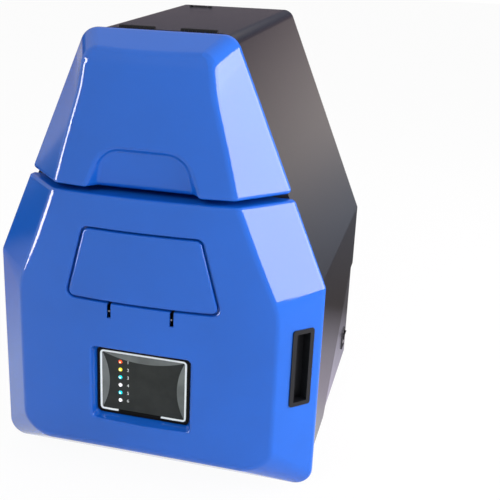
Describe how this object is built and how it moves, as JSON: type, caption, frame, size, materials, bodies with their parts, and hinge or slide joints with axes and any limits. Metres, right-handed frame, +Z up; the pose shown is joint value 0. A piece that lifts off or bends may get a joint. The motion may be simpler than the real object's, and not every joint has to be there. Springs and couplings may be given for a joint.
{
  "type": "gel imager",
  "caption": "Upright bench gel imager: slanted dark cabinet, hinged blue front doors with a push door, indicator panel and pull, darkroom chamber with lamp box and overhead camera.",
  "frame": {"origin": "centre of the footprint at the bottom of the rubber feet", "axes": "+X to the right across the front, +Y to the back, +Z up"},
  "size_m": [0.3816, 0.3836, 0.5145],
  "materials": {
    "door_blue": "smooth satin blue paint",
    "cover_grey": "satin dark metallic grey paint",
    "chassis_metal": "bare sheet",
    "frame_black": "black powder coat",
    "liner_dark": "dark matt paint",
    "plated_steel": "bright zinc plate",
    "black_steel": "black oxide",
    "foot_rubber": "moulded rubber",
    "seal_rubber": "foam seal",
    "black_plastic": "fine texture",
    "gloss_black": "polished",
    "grey_plastic": "fine texture",
    "panel_charcoal": "smooth charcoal face with a pale line",
    "led_lens": "coloured lens",
    "magnet_grey": "ferrite",
    "aluminium_grey": "anodised",
    "anodised_black": "black anodised",
    "filter_glass": "amber filter",
    "uv_glass": "dark violet filter glass",
    "tube_white": "phosphor white",
    "white_plastic": "smooth",
    "reflector_bright": "bright sheet",
    "case_grey": "satin grey paint",
    "diffuser_white": "milky",
    "lamp_blue": "blue lamp strip",
    "board_green": "lacquered board",
    "brass_post": "bare"
  },
  "bodies": {
    "cabinet": {"base_chassis": "chassis_metal", "outer_cover": "cover_grey", "rear_panel": "cover_grey", "cover_screws": "black_steel", "rubber_feet": "foot_rubber", "front_frame": "frame_black", "chamber_liner": "liner_dark", "camera_shelf": "liner_dark", "top_port": "gloss_black", "top_port_screws": "black_steel", "power_inlet": "gloss_black", "switch_frame": "black_plastic", "fan_frame": "black_plastic", "fan_guard": "plated_steel", "fan_screws": "plated_steel", "hinge_leaves_fixed": "black_steel", "hinge_pins": "plated_steel", "door_gaskets": "seal_rubber", "catch_magnets": "magnet_grey", "interlock_sensor": "black_plastic", "camera_bracket": "aluminium_grey", "camera_body": "anodised_black", "lens_barrel": "anodised_black", "filter_guide": "aluminium_grey", "transilluminator_case": "case_grey", "uv_filter_glass": "uv_glass", "uv_tubes": "tube_white", "tube_sockets": "white_plastic", "uv_reflector": "reflector_bright", "uv_ballast": "case_grey", "white_light_bars": "white_plastic", "blue_light_bars": "lamp_blue", "power_supply": "aluminium_grey", "control_board": "board_green", "board_standoffs": "brass_post"},
    "upper_door": {"upper_door_shell": "door_blue", "upper_door_liner": "frame_black", "upper_hinge_leaves": "black_steel", "upper_strikes": "plated_steel"},
    "lower_door": {"lower_door_shell": "door_blue", "lower_door_liner": "frame_black", "lower_hinge_leaves": "black_steel", "lower_strikes": "plated_steel", "pull_handle": "grey_plastic", "indicator_panel": "panel_charcoal", "indicator_leds": "led_lens", "viewing_window": "filter_glass", "touch_latch": "black_plastic", "push_door_brackets": "black_steel"},
    "push_door": {"push_door": "door_blue", "push_door_arms": "black_steel"},
    "latch_plunger": {"latch_plunger": "white_plastic"},
    "power_rocker": {"power_rocker": "gloss_black"},
    "fan_rotor": {"fan_rotor": "black_plastic"},
    "lens_focus_ring": {"lens_focus_ring": "anodised_black"},
    "lens_zoom_ring": {"lens_zoom_ring": "anodised_black"},
    "lens_iris_ring": {"lens_iris_ring": "anodised_black"},
    "filter_slide": {"filter_slide": "anodised_black", "emission_filter": "filter_glass"},
    "light_table": {"white_light_table": "diffuser_white"}
  },
  "joints": [
    {"name": "upper_door_hinge", "type": "hinge", "parent": "cabinet", "child": "upper_door", "pos_m": [0, -0.10475, 0.51125], "axis": [-1, 0, 0], "range_deg": [0, 100]},
    {"name": "lower_door_hinge", "type": "hinge", "parent": "cabinet", "child": "lower_door", "pos_m": [-0.1878, -0.12795, 0.177], "axis": [0, 0, -1], "range_deg": [0, 110]},
    {"name": "push_door_hinge", "type": "hinge", "parent": "lower_door", "child": "push_door", "pos_m": [0, -0.18075, 0.213], "axis": [1, 0, 0], "range_deg": [0, 95]},
    {"name": "latch_press", "type": "slide", "parent": "lower_door", "child": "latch_plunger", "axis": [0, 1, 0], "range_m": [0, 0.0025], "stiffness_N_per_m": 400},
    {"name": "rocker_switch", "type": "hinge", "parent": "cabinet", "child": "power_rocker", "pos_m": [0.1811, 0.15385, 0.066], "axis": [0, -1, 0], "range_deg": [0, 20]},
    {"name": "fan_spin", "type": "hinge", "parent": "cabinet", "child": "fan_rotor", "pos_m": [0, 0.17385, 0.258], "axis": [0, 1, 0], "continuous": true},
    {"name": "focus_turn", "type": "hinge", "parent": "cabinet", "child": "lens_focus_ring", "pos_m": [0, 0.00425, 0.362], "axis": [0, 0, 1], "range_deg": [0, 300]},
    {"name": "zoom_turn", "type": "hinge", "parent": "cabinet", "child": "lens_zoom_ring", "pos_m": [0, 0.00425, 0.384], "axis": [0, 0, 1], "range_deg": [0, 90]},
    {"name": "iris_turn", "type": "hinge", "parent": "cabinet", "child": "lens_iris_ring", "pos_m": [0, 0.00425, 0.404], "axis": [0, 0, 1], "range_deg": [0, 60]},
    {"name": "filter_pull", "type": "slide", "parent": "cabinet", "child": "filter_slide", "axis": [-1, 0, 0], "range_m": [0, 0.062]},
    {"name": "light_table_hinge", "type": "hinge", "parent": "cabinet", "child": "light_table", "pos_m": [0, 0.13025, 0.1131], "axis": [1, 0, 0], "range_deg": [0, 90]}
  ]
}
